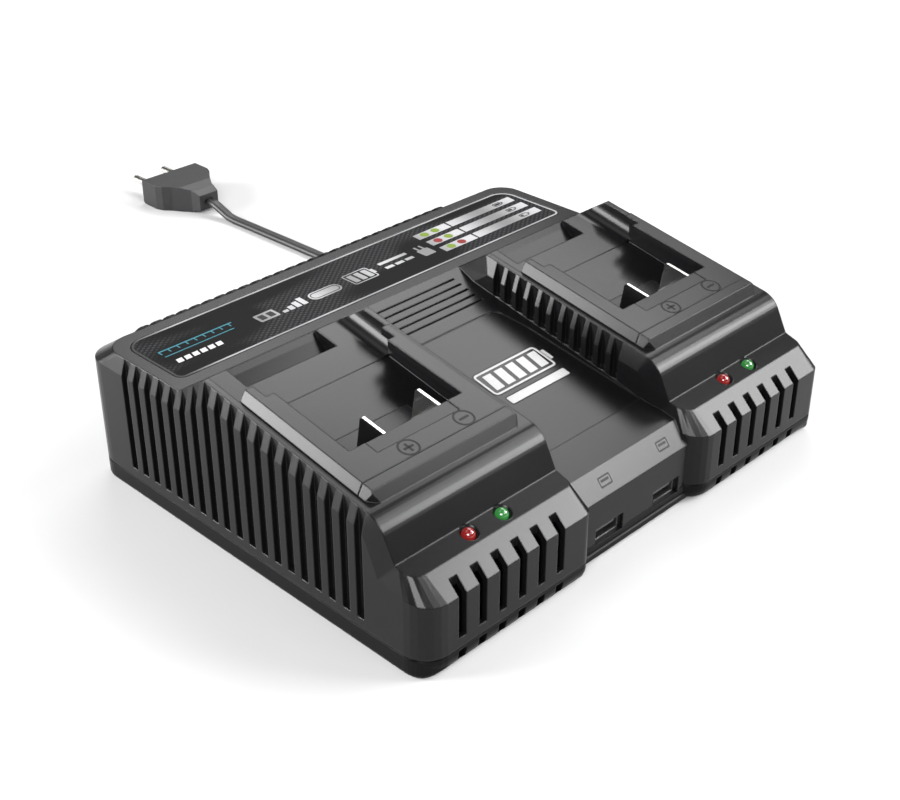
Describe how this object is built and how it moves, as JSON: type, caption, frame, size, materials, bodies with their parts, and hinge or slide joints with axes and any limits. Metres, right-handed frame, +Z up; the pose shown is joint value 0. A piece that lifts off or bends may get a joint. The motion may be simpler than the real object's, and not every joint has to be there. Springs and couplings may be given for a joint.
{
  "type": "power tool battery charger",
  "caption": "Twin-bay mains charger for slide-on power tool batteries, with sloped bays, contact blades, status lights, USB outlets, vented case, cooling fan and coiled lead.",
  "frame": {"origin": "middle of the case's footprint, on the surface that it stands on", "axes": "+X to the right as seen from the front (the side with the USB outlets), +Y to the rear, where the lead leaves, +Z up"},
  "size_m": [0.223, 0.409, 0.0699],
  "materials": {
    "case_grey": "fine spark texture, satin sheen on the edges",
    "case_black": "fine spark texture",
    "label": "printed film with a woven pattern and silver border",
    "block_black": "smooth moulded",
    "contact_metal": "nickel-plated, drawn",
    "led_red": "translucent tinted lens",
    "led_green": "translucent tinted lens",
    "board": "solder resist",
    "shell_steel": "stamped, nickel-plated",
    "tongue": "moulded",
    "ferrite": "ground ferrite",
    "winding": "tape-wrapped winding",
    "capacitor": "shrink sleeve",
    "heatsink": "extruded",
    "fan_black": "moulded",
    "foot_rubber": "moulded",
    "screw_steel": "zinc-plated",
    "lead_black": "satin PVC",
    "tie_black": "woven hook-and-loop tape",
    "pin_brass": "nickel-plated"
  },
  "bodies": {
    "charger": {"lower_case": "case_black", "upper_case": "case_grey", "label_plate": "label", "slide_plate_left": "case_grey", "slide_plate_right": "case_grey", "terminal_block_left": "block_black", "terminal_block_right": "block_black", "contact_blades_left": "contact_metal", "contact_blades_right": "contact_metal", "charging_led_left": "led_red", "charging_led_right": "led_red", "ready_led_left": "led_green", "ready_led_right": "led_green", "led_board_left": "board", "led_board_right": "board", "usb_shell_left": "shell_steel", "usb_shell_right": "shell_steel", "usb_tongue_left": "tongue", "usb_tongue_right": "tongue", "usb_board": "board", "main_board": "board", "transformer_core": "ferrite", "transformer_coil": "winding", "capacitors": "capacitor", "heatsink": "heatsink", "fan_frame": "fan_black", "rubber_feet": "foot_rubber", "case_screws": "screw_steel", "strain_relief": "lead_black", "mains_cord": "lead_black", "cord_coil": "lead_black", "cord_tie": "tie_black", "plug_body": "lead_black", "plug_pins": "pin_brass"},
    "fan": {"fan_rotor": "fan_black"}
  },
  "joints": [
    {"name": "fan_spin", "type": "hinge", "parent": "charger", "child": "fan", "pos_m": [-0.062, 0.0838, 0.0245], "axis": [0, 1, 0], "continuous": true}
  ]
}
